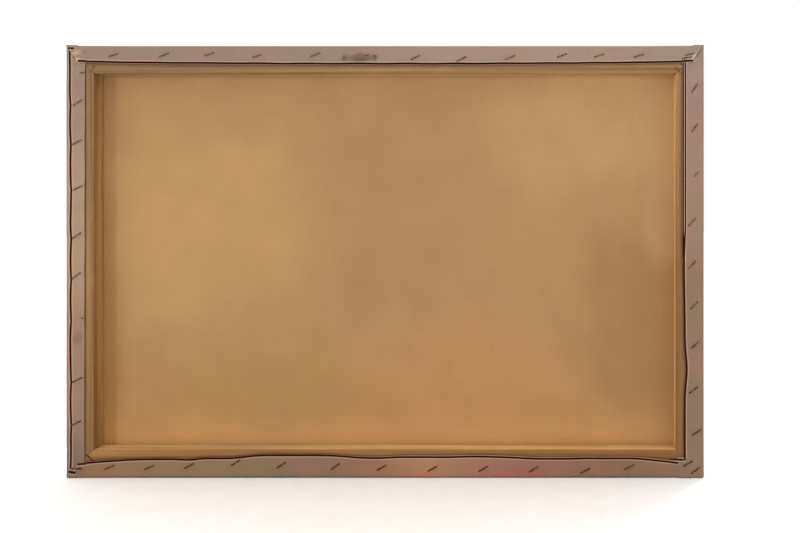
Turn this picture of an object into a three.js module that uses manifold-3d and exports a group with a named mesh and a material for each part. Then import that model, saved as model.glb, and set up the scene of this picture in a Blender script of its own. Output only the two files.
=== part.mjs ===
// Stretched canvas: four mitred stretcher bars, one sheet of canvas wrapped round them and folded
// on to their backs, the staples along its four margins and the staples across the four mitres.
//
// Frame, in millimetres: +Z up, the painted face looks along -Y and the stapled back along +Y.
// The origin is the middle of the bottom edge, halfway through the depth. Left and right are as
// seen from the painted face, so "left" is at -X.

import * as THREE from 'three';
import { mergeVertices } from 'three/addons/utils/BufferGeometryUtils.js';
import Module from 'manifold-3d';

// ---------------------------------------------------------------- driving dimensions

// Outside of the wrapped canvas.
const WIDTH = 600;
const HEIGHT = 406;
const FRONT_Y = -10;
const BACK_Y = 9.1;

// Canvas sheet, and the running gap kept between neighbouring pieces.
const CANVAS_THICKNESS = 0.6;
const GAP = 0.3;

// Width of the canvas margin folded on to each bar's back.
const MARGIN = { top: 17.2, bottom: 18, left: 18.2, right: 17.9 };

// Stretcher bar section. The front face falls away from the bead at the outer edge, so that the
// canvas rests on the bead only.
const FRAME_EDGE = 26;
const BEAD_WIDTH = 3;
const BEVEL_DROP = 0.8;
const EASED_EDGE = 0.6;
const MITRE_GAP = 0.3;

// Staple: flat wire bent to a crown and two pointed legs.
const CROWN_LENGTH = 10.6;
const WIRE_WIDTH = 1.2;
const WIRE_THICKNESS = 0.7;
const LEG_LENGTH = 8;
const LEG_TIP = 1.2;
const CROWN_CORNER = 0.35;
const STAPLE_GAP = 0.2;
const LEG_CLEARANCE = 0.3;

// Staples along each margin, each as its place along the bar (X on the top and bottom bars, Z on
// the left and right ones), its distance from the outer edge and its crown's slope in degrees. A
// hand-held stapler wanders, so no two are alike.
const MARGIN_ROWS = {
  top: [
    [-238.4, 9.9, 17], [-201.1, 9.8, 18], [-166.3, 9.7, 21], [-117.5, 11.5, 21],
    [-71.9, 12.9, 25], [-28.7, 11.5, 25], [19.6, 10, 14], [65.4, 8.8, 22],
    [120, 10.1, 17], [164.8, 8.3, 18], [207.4, 9.1, 20], [255, 9.3, 17],
  ],
  bottom: [
    [-229.7, 10.1, 26], [-188.2, 6.6, 26], [-139.7, 7.9, 31], [-92.4, 8.3, 30],
    [-44.6, 8.3, 29], [3.2, 9.3, 28], [46.5, 10.5, 36], [97.3, 11.8, 32],
    [140.1, 14, 32], [183.9, 11, 28], [221.6, 9.6, 21], [258.9, 9.7, 21],
  ],
  left: [
    [42.4, 7.4, 32], [82.3, 10.1, 38], [124.6, 8.6, 40], [161.9, 9.4, 45],
    [200, 11.4, 48], [239.9, 11.6, 48], [283.3, 8.8, 52], [328.5, 9.1, 54],
    [366.1, 9, 56],
  ],
  right: [
    [51.3, 10.4, 26], [91.8, 11.3, 26], [148.9, 11.8, 14], [189.5, 10.2, 38],
    [227.2, 10.6, 34], [272.2, 12, 25], [314.8, 10.6, 27], [352.1, 11.5, 30],
  ],
};

// Extra staples that hold the folded corners: [X, Z, slope in degrees].
const CORNER_STAPLES = {
  top_left: [[-286.5, 397.5, 11], [-283.6, 394.2, 11]],
  top_right: [[287.9, 397, 20], [287.4, 380, 6]],
  bottom_left: [[-284.6, 13.2, 28], [-291.7, 6.8, 38]],
  bottom_right: [[289.5, 8.4, 0]],
};

// Staples driven flush across the mitres, some of them partly or wholly under the canvas.
const MITRE_STAPLES = {
  top_left: [[-275.8, 382.4, -47], [-280.2, 386.6, -45]],
  top_right: [[275.9, 383.8, 45]],
  bottom_left: [[-283.5, 16.5, 45]],
  bottom_right: [[277.9, 18.4, -42]],
};

// ---------------------------------------------------------------- derived places

const BAR_INSET = CANVAS_THICKNESS + GAP;
const BAR_FRONT_Y = FRONT_Y + BAR_INSET;
const BAR_BACK_Y = BACK_Y - BAR_INSET;
const BAR_WIDTH = FRAME_EDGE - BAR_INSET;
const MARGIN_CROWN_Y = BACK_Y + STAPLE_GAP + WIRE_THICKNESS;
const WOOD_CROWN_Y = BAR_BACK_Y;

// ---------------------------------------------------------------- materials

const pine = new THREE.MeshStandardMaterial({ color: 0xa88152, roughness: 0.75, metalness: 0 });
const canvasCloth = new THREE.MeshStandardMaterial({ color: 0xb08f68, roughness: 0.9, metalness: 0 });
const stapleWire = new THREE.MeshStandardMaterial({ color: 0x6b5238, roughness: 0.45, metalness: 0.8 });

// ---------------------------------------------------------------- solids

const wasm = await Module();
wasm.setup();

function toSolid(geometry) {
  const bare = geometry.clone();
  bare.deleteAttribute('normal');
  bare.deleteAttribute('uv');
  const merged = mergeVertices(bare);
  return new wasm.Manifold(new wasm.Mesh({
    numProp: 3,
    vertProperties: new Float32Array(merged.attributes.position.array),
    triVerts: new Uint32Array(merged.index.array),
  }));
}

function toGeometry(solid) {
  const mesh = solid.getMesh();
  const geometry = new THREE.BufferGeometry();
  geometry.setAttribute('position', new THREE.BufferAttribute(mesh.vertProperties, 3));
  geometry.setIndex(new THREE.BufferAttribute(mesh.triVerts, 1));
  geometry.computeVertexNormals();
  return geometry;
}

function boxSolid(low, high) {
  const size = high.map((value, axis) => value - low[axis]);
  const geometry = new THREE.BoxGeometry(...size);
  geometry.translate(...high.map((value, axis) => (value + low[axis]) / 2));
  return toSolid(geometry);
}

function outline(points) {
  return new THREE.Shape(points.map(([u, v]) => new THREE.Vector2(u, v)));
}

function piece(name, geometry, material) {
  const mesh = new THREE.Mesh(geometry, material);
  mesh.name = name;
  return mesh;
}

// ---------------------------------------------------------------- staples

// Crown along X with its outside face at Y = 0, legs pointing along -Y, centred on Z.
function stapleGeometry() {
  const half = CROWN_LENGTH / 2;
  const inner = half - WIRE_THICKNESS;
  const section = outline([
    [-half, -CROWN_CORNER],
    [-half, -LEG_LENGTH],
    [-inner, -LEG_LENGTH + LEG_TIP],
    [-inner, -WIRE_THICKNESS],
    [inner, -WIRE_THICKNESS],
    [inner, -LEG_LENGTH + LEG_TIP],
    [half, -LEG_LENGTH],
    [half, -CROWN_CORNER],
    [half - CROWN_CORNER, 0],
    [-half + CROWN_CORNER, 0],
  ]);
  const geometry = new THREE.ExtrudeGeometry(section, { depth: WIRE_WIDTH, bevelEnabled: false });
  geometry.translate(0, 0, -WIRE_WIDTH / 2);
  return geometry;
}

// The two slots that a staple's legs pass through, in the staple's own frame.
function legSlots() {
  const half = CROWN_LENGTH / 2;
  const z = WIRE_WIDTH / 2 + LEG_CLEARANCE;
  const deep = -LEG_LENGTH - LEG_CLEARANCE;
  const slots = [-1, 1].map((side) => {
    const edges = [side * (half + LEG_CLEARANCE), side * (half - WIRE_THICKNESS - LEG_CLEARANCE)];
    return boxSolid([Math.min(...edges), deep, -z], [Math.max(...edges), LEG_CLEARANCE, z]);
  });
  return slots[0].add(slots[1]);
}

// The groove that the crown of a flush staple lies in, in the staple's own frame.
function crownGroove() {
  const half = CROWN_LENGTH / 2 + LEG_CLEARANCE;
  const z = WIRE_WIDTH / 2 + LEG_CLEARANCE;
  return boxSolid([-half, -WIRE_THICKNESS - LEG_CLEARANCE, -z], [half, LEG_CLEARANCE, z]);
}

function placeStaple(name, x, crownY, z, slopeDegrees) {
  const staple = piece(name, stapleGeometry(), stapleWire);
  staple.position.set(x, crownY, z);
  staple.rotation.y = THREE.MathUtils.degToRad(slopeDegrees);
  staple.updateMatrix();
  return staple;
}

function marginStaples(side) {
  return MARGIN_ROWS[side].map(([place, inset, slope], index) => {
    const [x, z] = {
      top: [place, HEIGHT - inset],
      bottom: [place, inset],
      left: [-WIDTH / 2 + inset, place],
      right: [WIDTH / 2 - inset, place],
    }[side];
    return placeStaple(`${side}_staple_${index + 1}`, x, MARGIN_CROWN_Y, z, slope);
  });
}

function staplesAtCorners(corners, kind, crownY) {
  return Object.entries(corners).flatMap(([corner, staples]) => (
    staples.map(([x, z, slope], index) => (
      placeStaple(`${corner}_${kind}_staple_${index + 1}`, x, crownY, z, slope)
    ))
  ));
}

// ---------------------------------------------------------------- stretcher bars

// Section across a bar: u runs inwards from the bar's outer face, v is depth along Y.
function barSection() {
  const eased = EASED_EDGE;
  return outline([
    [0, BAR_FRONT_Y + eased],
    [eased, BAR_FRONT_Y],
    [BEAD_WIDTH, BAR_FRONT_Y],
    [BAR_WIDTH, BAR_FRONT_Y + BEVEL_DROP],
    [BAR_WIDTH, BAR_BACK_Y - eased],
    [BAR_WIDTH - eased, BAR_BACK_Y],
    [eased, BAR_BACK_Y],
    [0, BAR_BACK_Y - eased],
  ]);
}

// A bottom bar of the given length, mitred at both ends, its outer face on Z = 0, centred on X.
function mitredBar(length) {
  const bar = new THREE.ExtrudeGeometry(barSection(), { depth: length, bevelEnabled: false });
  bar.applyMatrix4(new THREE.Matrix4().makeBasis(
    new THREE.Vector3(0, 0, 1),
    new THREE.Vector3(0, 1, 0),
    new THREE.Vector3(-1, 0, 0),
  ));
  bar.translate(length / 2, 0, 0);
  const half = length / 2 - MITRE_GAP / Math.SQRT2;
  const plan = outline([
    [-half, 0],
    [half, 0],
    [half - BAR_WIDTH, BAR_WIDTH],
    [-half + BAR_WIDTH, BAR_WIDTH],
  ]);
  const depth = BAR_BACK_Y - BAR_FRONT_Y;
  const mitres = new THREE.ExtrudeGeometry(plan, { depth: depth + 2 * GAP, bevelEnabled: false });
  mitres.rotateX(Math.PI / 2);
  mitres.translate(0, BAR_BACK_Y + GAP, 0);
  return toSolid(bar).intersect(toSolid(mitres));
}

function stretcherBars(cuts) {
  const long = mitredBar(WIDTH - 2 * BAR_INSET);
  const short = mitredBar(HEIGHT - 2 * BAR_INSET);
  const middleZ = HEIGHT / 2;
  const sideX = WIDTH / 2 - BAR_INSET;
  const bars = {
    bottom_bar: long.translate([0, 0, BAR_INSET]),
    top_bar: long.mirror([0, 0, 1]).translate([0, 0, HEIGHT - BAR_INSET]),
    left_bar: short.rotate([0, 90, 0]).translate([-sideX, 0, middleZ]),
    right_bar: short.rotate([0, -90, 0]).translate([sideX, 0, middleZ]),
  };
  return Object.entries(bars).map(([name, solid]) => (
    piece(name, toGeometry(solid.subtract(cuts)), pine)
  ));
}

// ---------------------------------------------------------------- canvas

// One sheet: painted face, four wrapped sides and the margins on the back, open inside them.
function canvasSheet(slots) {
  const halfWidth = WIDTH / 2;
  const skin = CANVAS_THICKNESS;
  const outside = boxSolid([-halfWidth, FRONT_Y, 0], [halfWidth, BACK_Y, HEIGHT]);
  const inside = boxSolid(
    [-halfWidth + skin, FRONT_Y + skin, skin],
    [halfWidth - skin, BACK_Y - skin, HEIGHT - skin],
  );
  const backOpening = boxSolid(
    [-halfWidth + MARGIN.left, 0, MARGIN.bottom],
    [halfWidth - MARGIN.right, BACK_Y + skin, HEIGHT - MARGIN.top],
  );
  const sheet = outside.subtract(inside).subtract(backOpening).subtract(slots);
  return piece('canvas', toGeometry(sheet), canvasCloth);
}

// ---------------------------------------------------------------- assembly

const surfaceStaples = [
  ...Object.keys(MARGIN_ROWS).flatMap(marginStaples),
  ...staplesAtCorners(CORNER_STAPLES, 'corner', MARGIN_CROWN_Y),
];
const mitreStaples = staplesAtCorners(MITRE_STAPLES, 'mitre', WOOD_CROWN_Y);

// The same cut at every one of the given staples.
function cutsAt(staples, cut) {
  return staples
    .map((staple) => cut.transform(staple.matrix.toArray()))
    .reduce((joined, solid) => joined.add(solid));
}

const surfaceSlots = cutsAt(surfaceStaples, legSlots());
const mitreSlots = cutsAt(mitreStaples, legSlots().add(crownGroove()));

const stretchedCanvas = new THREE.Group();
stretchedCanvas.add(...stretcherBars(surfaceSlots.add(mitreSlots)));
stretchedCanvas.add(canvasSheet(surfaceSlots));
stretchedCanvas.add(...surfaceStaples, ...mitreStaples);

export default stretchedCanvas;
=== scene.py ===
"""Looks of a stretched canvas: the sheet with its wrapped sides, stapled margins and folded corners,
the four pine stretcher bars and the staples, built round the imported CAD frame.

Lengths are in millimetres until a mesh is made, and metres in Blender. Left and right are as seen
from the painted face, which looks along -Y; the stapled back looks along +Y.
"""

import itertools
import math

import bmesh
import bpy
import numpy as np
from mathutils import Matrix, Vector


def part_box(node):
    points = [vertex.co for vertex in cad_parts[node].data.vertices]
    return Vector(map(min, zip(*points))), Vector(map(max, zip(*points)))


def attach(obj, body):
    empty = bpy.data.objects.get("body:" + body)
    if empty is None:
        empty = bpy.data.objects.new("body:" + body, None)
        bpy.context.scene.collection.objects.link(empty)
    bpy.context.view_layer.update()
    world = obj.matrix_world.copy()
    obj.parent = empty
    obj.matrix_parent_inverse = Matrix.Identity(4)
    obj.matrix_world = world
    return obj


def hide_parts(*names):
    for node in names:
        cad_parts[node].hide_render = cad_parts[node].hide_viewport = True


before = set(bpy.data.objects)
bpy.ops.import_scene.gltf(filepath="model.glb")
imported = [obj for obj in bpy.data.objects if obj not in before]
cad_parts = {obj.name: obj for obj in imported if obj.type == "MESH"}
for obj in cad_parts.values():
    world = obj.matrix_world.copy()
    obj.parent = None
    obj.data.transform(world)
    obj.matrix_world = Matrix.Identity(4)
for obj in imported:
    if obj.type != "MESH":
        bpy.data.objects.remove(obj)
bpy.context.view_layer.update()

MM = 0.001

# ------------ sizes read off the frame


def box_mm(node):
    low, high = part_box(node)
    return np.array(low) / MM, np.array(high) / MM


canvas_low, canvas_high = box_mm("canvas")
top_bar_low, top_bar_high = box_mm("top_bar")

HALF_WIDTH = canvas_high[0]
HEIGHT = canvas_high[2]
HALF_HEIGHT = HEIGHT / 2
FRONT_Y = canvas_low[1]
BAR_FRONT_Y = top_bar_low[1]
BAR_BACK_Y = top_bar_high[1]
BAR_INSET = HEIGHT - top_bar_high[2]
BAR_WIDTH = top_bar_high[2] - top_bar_low[2]
OPENING = BAR_INSET + BAR_WIDTH  # from the outer edge in to the opening between the bars
BARS = ["top_bar", "bottom_bar", "left_bar", "right_bar"]
STAPLES = sorted(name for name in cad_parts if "staple" in name)

# ------------ the canvas sheet

CLOTH = 0.4  # thickness of the sheet
FRONT_RADIUS = 1.2  # bend over the bars' front edge
BACK_RADIUS = 1.5  # bend over the bars' back edge
CORNER_RADIUS = 1.2  # bend round the frame's four upright and level corner edges
SIDE_SLACK = -0.15  # outer face of the left and right sides, out from the CAD box
TOP_PLANE = -0.4  # the same at the middle of the top and bottom sides
MARGIN_Y = 9.0  # usual level of a margin's outer face
SIDE_DEPTH = MARGIN_Y - BACK_RADIUS - FRONT_Y  # from the face to where the bend at the back starts
CORNER_SINK = -0.28  # how much tighter the side margins lie under the corner folds
CORNER_LIFT = 0.17  # how much higher the top and bottom margins lie over them
FOLD_SLANT = 0.75  # how far a folded end runs in for each millimetre down the margin
FOLD_RIDGE, RIDGE_REACH = 0.9, 2.2  # how high a folded end stands up, and over what width
FOLD_RADIUS = 0.35  # bend of the cloth at a folded end
FOLD_INSET = {"top": 0.2, "bottom": 1.1}  # how far folded sides stop short of the upright ones
FOLD_LAYERS = 2  # layers of cloth under the ends of the folded sides
FOLD_WEAR_AND_HIGHLIGHT = 0.85  # how much paler the paint is along a folded end: partly rubbed off, partly a painted highlight
FOLD_SHADOW = 0.65  # painted shadow: how much darker the cloth is painted in the corner beside a fold
FOLD_SHADE_REACH = 1.2  # how far from the fold both show
TUCK_SLANT = 0.62  # width of the tucked triangle for each millimetre of depth
TUCK_SHOWS = 0.45  # how much it lifts the margin over it
SIDE_OVER = ("bottom", -1)  # the one corner where the side margin lies over the level one
END_SWELL, END_REACH = 0.3, 70  # how far the folded sides stand out more towards their ends
PULL_REACH = 60  # length over which a folded margin's ends are drawn in
UPRIGHT_PULL = 0.5  # how much shorter than its side a side margin is at each end
FACE_BOW = 0.7  # how far the middle of the face is pulled back
FACE_COLUMNS, FACE_ROWS = 100, 68
FINE = 5  # margin columns for each column of the face
RING = 4.0  # width of the band between the face's grid and the fine columns

CROWN = 10.6  # length of a staple's crown
CROWN_UNDERSIDE = 9.26  # Y of its inner face, down to which it presses the cloth
PRESS_REACH = 0.8  # how far the cloth is pressed to each side of it
SWELL, SWELL_REACH = 0.3, 4.5  # how high the cloth stands round a staple, and how far out
WRINKLE, WRINKLE_REACH = 0.16, 6  # depth and length of the wrinkles that run out from it
WRINKLE_LOBES = 7  # the number of those wrinkles
WAVE = 0.1  # slow waviness of a margin


def smooth(low, high, value):
    """0 at low, 1 at high, with an easy start and end."""
    t = np.clip((value - low) / (high - low), 0.0, 1.0)
    return t * t * (3.0 - 2.0 * t)


def ripple(x, z, wavelength, seed):
    """Smooth waviness between about -1.5 and 1.5, the same on every run."""
    waves = 6
    rng = np.random.default_rng(seed)
    total = np.zeros(np.broadcast(x, z).shape)
    for _ in range(waves):
        angle, phase = rng.uniform(0, 2 * math.pi, 2)
        length = wavelength * rng.uniform(0.6, 1.6)
        total += np.sin(2 * math.pi * (x * math.cos(angle) + z * math.sin(angle)) / length + phase)
    return total / math.sqrt(waves)


def staple_place(name):
    """Centre and crown direction in the XZ plane of a CAD staple, and the crown's outer Y."""
    points = np.array([v.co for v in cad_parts[name].data.vertices]) / MM
    plan = points[:, [0, 2]]
    direction = np.linalg.svd(plan - plan.mean(0), full_matrices=False)[2][0]
    if direction[0] < 0:
        direction = -direction
    return (plan.min(0) + plan.max(0)) / 2, direction, points[:, 1].max()


staple_places = {name: staple_place(name) for name in STAPLES}


# Staples that the cloth partly covers: how deep each is sunk at its -X end, middle and +X end.
SUNK = {
    "top_right_corner_staple_1": (0.3, 1.5, 0.3), "top_right_corner_staple_2": (0.0, 1.1, 2.2),
    "right_staple_3": (0.0, 1.1, 0.9), "left_staple_7": (0.0, 0.4, 0.9),
    "top_staple_7": (0.0, 0.7, 2.0),
}


def sunk(name, along):
    """How deep a point of a staple's crown is sunk, along it from -1 to 1."""
    low, middle, high = SUNK.get(name, (0.0, 0.0, 0.0))
    bend = (low + high) / 2 - middle
    return middle + along * (high - low) / 2 + bend * along**2


def margin_height(x, z, base):
    """Y of a margin's outer face: pressed down under each crown, puckered round it."""
    height = base + WAVE * ripple(x, z, 26, seed=3)
    for index, name in enumerate(STAPLES):
        if "mitre" in name:
            continue
        centre, direction, _ = staple_places[name]
        dx, dz = x - centre[0], z - centre[1]
        along = dx * direction[0] + dz * direction[1]
        across = dz * direction[0] - dx * direction[1]
        reach = np.hypot(np.maximum(np.abs(along) - CROWN / 2, 0), across)
        height += SWELL * np.exp(-((reach / SWELL_REACH) ** 2))
        lobes = np.cos(WRINKLE_LOBES * np.arctan2(across, along) + index)
        height += WRINKLE * lobes * np.exp(-reach / WRINKLE_REACH) * smooth(0.6, 2.6, reach)
        press = smooth(CROWN / 2 + 1, CROWN / 2 - 0.2, np.abs(along))
        press *= np.exp(-((across / PRESS_REACH) ** 2)) * smooth(0.6, 0.3, sunk(name, 2 * along / CROWN))
        height = height * (1 - press) + CROWN_UNDERSIDE * press
    return height


# Distance from the outer edge to the cut edge of each margin, and to the dark line printed near
# it. `place` is X on the top and bottom margins and Z on the left and right ones.
LINE_TO_CUT = 0.9
TWIN_APART = 2.0  # between the left margin's two lines, where there are two


def cut_top(place):
    return 18.2 - 1.9 * np.abs(place / 290) ** 2.2 + 0.12 * ripple(place, 0, 30, seed=11)


# The bottom margin's wavy cut, as (X, distance from the outer edge).
BOTTOM_CUT = [
    (-292, 13.6), (-266, 16.7), (-236, 19.0), (-195, 19.2), (-145, 19.0), (-95, 20.9), (-40, 20.4),
    (-12, 20.4), (6, 19.3), (22, 19.8), (42, 21.2), (80, 21.8), (122, 21.2), (150, 18.7),
    (170, 18.6), (185, 17.3), (200, 18.0), (232, 17.6), (262, 16.3), (292, 14.2),
]


def curve_through(points, place):
    """A smooth curve through the given (place, value) points."""
    x, y = np.array(points, float).T
    slope = np.gradient(y, x)
    k = np.clip(np.searchsorted(x, place) - 1, 0, len(x) - 2)
    span = x[k + 1] - x[k]
    t = np.clip((place - x[k]) / span, 0, 1)
    ease = t * t * (3 - 2 * t)
    start, stop = t * (1 - t) ** 2, t * t * (t - 1)
    return y[k] * (1 - ease) + y[k + 1] * ease + span * (slope[k] * start + slope[k + 1] * stop)


def cut_bottom(place):
    return curve_through(BOTTOM_CUT, place) + 0.12 * ripple(place, 0, 30, seed=12)


def cut_right(place):
    return 17.3 + 0.7 * place / HEIGHT + 0.08 * ripple(place, 0, 30, seed=13)


def line_left(place):
    """The line nearer the outer edge: it bows in at one place and steps in below the twin lines."""
    bow = -1.9 * np.exp(-(((place - 102) / 17) ** 2))
    return 17.65 + 1.35 * smooth(240, 202, place) - 0.8 * smooth(200, 140, place) + bow


def cut_left(place):
    below = smooth(18.6, 17.2, place)
    foot = below * (5.3 + 9.7 * smooth(14.6, 16.2, place))
    return line_left(place) + LINE_TO_CUT + TWIN_APART * smooth(198, 236, place) + foot


def line_right(place):
    """The line by the outer edge, drawn inwards in a cusp at the outer end of each staple."""
    line = 3.8 + 0.65 * smooth(335, 280, place) + 0.3 * smooth(60, 10, place)
    line = line + 0.12 * ripple(place, 0, 50, seed=15)
    for name in STAPLES:
        if name.startswith("right_staple"):
            centre, direction, _ = staple_places[name]
            end = centre[1] + direction[1] * CROWN / 2
            line = line + 1.0 * np.exp(-np.abs(place - end) / 8)
    return line


# The sheet's four sides: half of each one's length, its cut edge, and which way its faces turn.
SIDES = {
    "top": {"half": HALF_WIDTH, "cut": cut_top, "flip": False},
    "bottom": {"half": HALF_WIDTH, "cut": cut_bottom, "flip": True},
    "left": {"half": HALF_HEIGHT, "cut": cut_left, "flip": False},
    "right": {"half": HALF_HEIGHT, "cut": cut_right, "flip": True},
}
FOLDED = ("top", "bottom")  # the sides whose ends are folded over the other two

# Colours along each margin, as (place, sRGB colour), before the light of the scene is taken off.
MARGIN_COLOURS = {
    "top": [(-290, (163, 139, 123)), (-200, (168, 143, 124)), (-45, (166, 139, 122)),
            (40, (158, 133, 114)), (150, (157, 132, 114)), (280, (161, 134, 115))],
    "bottom": [(-270, (144, 114, 92)), (-215, (140, 110, 86)), (-155, (156, 109, 96)),
               (-95, (164, 115, 100)), (-43, (183, 135, 101)), (10, (160, 117, 93)),
               (60, (140, 115, 94)), (130, (144, 121, 92)), (200, (150, 122, 92)),
               (270, (154, 117, 92))],
    "left": [(20, (141, 117, 97)), (190, (144, 119, 98)), (235, (158, 129, 108)),
             (390, (163, 135, 120))],
    "right": [(20, (141, 114, 97)), (60, (161, 127, 105)), (140, (165, 132, 105)),
              (180, (176, 145, 117)), (250, (181, 149, 121)), (330, (169, 139, 120)),
              (390, (160, 133, 115))],
}

# Smudges of thin paint on the margins, and painted highlights on the lifted top-corner folds (the pale
# patches and the light orange one): centre X and Z, half-lengths, strength and colour.
GREY_PAINT, DARK_PAINT = (90, 90, 68), (50, 40, 28)
# The first of these is a painted highlight for the lifted corner folds; the second is rose paint.
FOLD_HIGHLIGHT, ROSE_PAINT = (214, 186, 160), (142, 98, 94)
PLAIN_TINT = (150, 125, 105)  # under the painting
SMUDGES_AND_HIGHLIGHTS = [
    (24, 393.8, 16, 4.6, 0.9, GREY_PAINT), (38.3, 394.4, 0.5, 2.4, 0.75, DARK_PAINT),
    (21.5, 393, 8, 1.1, 0.75, (54, 52, 34)), (14, 391, 3.6, 1.4, 0.7, (140, 146, 118)),
    (8.6, 393, 0.8, 3.8, 1, DARK_PAINT), (10, 396, 1.6, 0.7, 0.8, DARK_PAINT),
    (288.5, 131, 5.5, 6.5, 0.45, GREY_PAINT), (-291, 394.4, 2.2, 3.4, 0.45, FOLD_HIGHLIGHT),
    (287, 8.4, 6, 2.2, 0.5, GREY_PAINT), (289.6, 398.6, 3.8, 1.3, 0.75, (218, 172, 124)),
    (288, 392, 2.2, 2.6, 0.6, FOLD_HIGHLIGHT), (289.5, 401, 3.4, 0.9, 0.5, FOLD_HIGHLIGHT),
    (282, 399.4, 1.5, 0.6, 0.5, DARK_PAINT), (292.2, 394.8, 1.6, 0.6, 0.5, (112, 66, 38)),
    (-285.8, 390.6, 4, 0.8, 0.5, FOLD_HIGHLIGHT), (290, 3.6, 12, 3, 0.45, ROSE_PAINT),
    (294, 22, 6, 22, 0.3, ROSE_PAINT), (-34, 4.2, 18, 4, 0.4, (186, 118, 92)),
    (-132, 5, 24, 5, 0.4, (168, 90, 88)),
]


def to_linear(colour):
    c = np.asarray(colour, float) / 255
    return np.where(c <= 0.04045, c / 12.92, ((c + 0.055) / 1.055) ** 2.4)


# How brightly the scene's lights show a white margin, so that colours can be given as seen.
MARGIN_LIGHT = 1.16


def mixed(tint, colour, weight):
    """A linear tint mixed with an sRGB colour, which has the given weight at each point."""
    return tint * (1 - weight[..., None]) + to_linear(colour) * weight[..., None]


def add_patches(tint, stains, x, z, edge, seed):
    """Mixes soft-edged patches of colour into a linear tint."""
    for cx, cz, rx, rz, strength, colour in stains:
        reach = np.hypot((x - cx) / rx, (z - cz) / rz)
        reach += 0.15 * ripple(x, z, edge, seed)
        tint = mixed(tint, colour, strength * smooth(1.3, 0.5, reach))
    return tint


def fold_shade(side, s, x, z):
    """How much paler the paint is along the folded ends, partly worn and partly a painted highlight, and
    the painted shadow beside them.
    """
    upper = z > HALF_HEIGHT
    level = np.where(upper, HEIGHT - z, z)
    cut = np.where(upper, cut_top(x), cut_bottom(x))
    inset = np.where(upper, FOLD_INSET["top"], FOLD_INSET["bottom"])
    near = np.exp(-(((np.abs(x) - fold_end(level, inset)) / FOLD_SHADE_REACH) ** 2))
    near = near * smooth(3, 7, level) * smooth(0.5, -0.5, level - cut)
    if side in FOLDED:
        return np.where(is_over(side, s), 1 + FOLD_WEAR_AND_HIGHLIGHT * near, 1.0)
    dark = np.where(upper & (x < 0), FOLD_SHADOW, FOLD_SHADOW / 3)
    return np.where(is_over(side, s), 1.0, 1 - dark * near)


def margin_tint(side, place, x, z):
    places, colours = zip(*MARGIN_COLOURS[side])
    tint = np.stack([np.interp(place, places, part) for part in to_linear(colours).T], axis=-1)
    return add_patches(tint, SMUDGES_AND_HIGHLIGHTS, x, z, 9, 21) / MARGIN_LIGHT


# Tones of the sheet's raw back as seen: warmer downwards and a little darker at the head, with wide soft
# patches, each given as centre X and Z, half-lengths, strength and colour.
BACK_BASE, BACK_FOOT, BACK_HEAD = (181, 140, 94), (189, 139, 87), (173, 134, 91)
BACK_TONE_AND_SHADE_PATCHES = [
    (215, 240, 150, 105, 0.9, (192, 150, 99)), (-18, 260, 95, 140, 0.7, (173, 134, 92)),
    (-200, 335, 115, 65, 0.8, (188, 149, 102)), (-268, 145, 105, 125, 0.85, (164, 122, 79)),
    (-70, 85, 110, 60, 0.7, (190, 138, 91)), (110, 85, 95, 50, 0.7, (178, 137, 87)),
    # The patch at X 270, beside the right bar, is painted shade: it warms the shadow that bar casts on
    # the cloth.
    (-265, 243, 24, 46, 0.4, (200, 158, 112)), (270, 110, 16, 120, 0.6, (178, 131, 72)),
]
BACK_LIGHT = 1.24  # how brightly the lights show a white raw back

# Painted light: how much lighter the raw back is painted beside each bar, where shade falls, and how far
# out.
BAR_SIDE_LIGHT = {"top": (0.26, 8), "right": (0.2, 6), "left": (0.12, 4)}
# Painted light: how much lighter the raw back is painted just above the bottom bar, and how far up.
LOW_BAR_LIGHT, LOW_BAR_LIGHT_REACH = 0.25, 21
CONTACT_SHADOW, CONTACT_SHADOW_REACH = 0.12, 3.5  # painted contact shadow: how much darker the raw back is close above the bottom bar


def light_beside_bars(x, z):
    """Painted light and shade on the raw back beside the bars, as a factor on its colour."""
    half = HALF_WIDTH - OPENING
    gaps = {"top": HEIGHT - OPENING - z, "right": half - x, "left": half + x}
    above = z - OPENING
    gain = LOW_BAR_LIGHT * np.exp(-((above / LOW_BAR_LIGHT_REACH) ** 2))
    gain -= CONTACT_SHADOW * np.exp(-np.maximum(above, 0) / CONTACT_SHADOW_REACH)
    for side, (amount, reach) in BAR_SIDE_LIGHT.items():
        gain += amount * np.exp(-np.maximum(gaps[side], 0) / reach)
    return (1 + gain)[..., None]


def back_tone(x, z):
    """Linear colour of the raw back, with painted light and shade beside the bars."""
    tone = mixed(to_linear(BACK_BASE), BACK_FOOT, smooth(150, 10, z))
    tone = mixed(tone, BACK_HEAD, smooth(365, 385, z))
    return add_patches(tone, BACK_TONE_AND_SHADE_PATCHES, x, z, 90, 31) * light_beside_bars(x, z) / BACK_LIGHT


class Surface:
    """Points, faces and values at the points of one open surface, in millimetres."""

    WIDTHS = {"points": 3, "cloth": 2, "tint": 3, "front": 1, "line": 1, "second_line": 1}

    def __init__(self):
        self.faces = []
        self.blocks = {name: [] for name in self.WIDTHS}

    def add(self, **values):
        """Adds an array of points with their values; returns their indices in the same shape."""
        shape = values["points"].shape[:-1]
        start = sum(len(block) for block in self.blocks["points"])
        for name, width in self.WIDTHS.items():
            full = np.broadcast_to(values[name], shape + ((width,) if width > 1 else ()))
            self.blocks[name].append(full.reshape(-1, width))
        return np.arange(start, start + int(np.prod(shape))).reshape(shape)

    def joined(self, name):
        return np.concatenate(self.blocks[name])

    def face(self, corners, flip=False):
        kept = [int(c) for k, c in enumerate(corners) if c != corners[k - 1]]
        if len(kept) > 2:
            self.faces.append(kept[::-1] if flip else kept)

    def grid(self, index, flip=False):
        """Joins rows of points: along the first axis then up the second."""
        corners = [index[:-1, :-1], index[1:, :-1], index[1:, 1:], index[:-1, 1:]]
        for quad in np.stack(corners, axis=-1).reshape(-1, 4):
            self.face(quad, flip)


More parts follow.
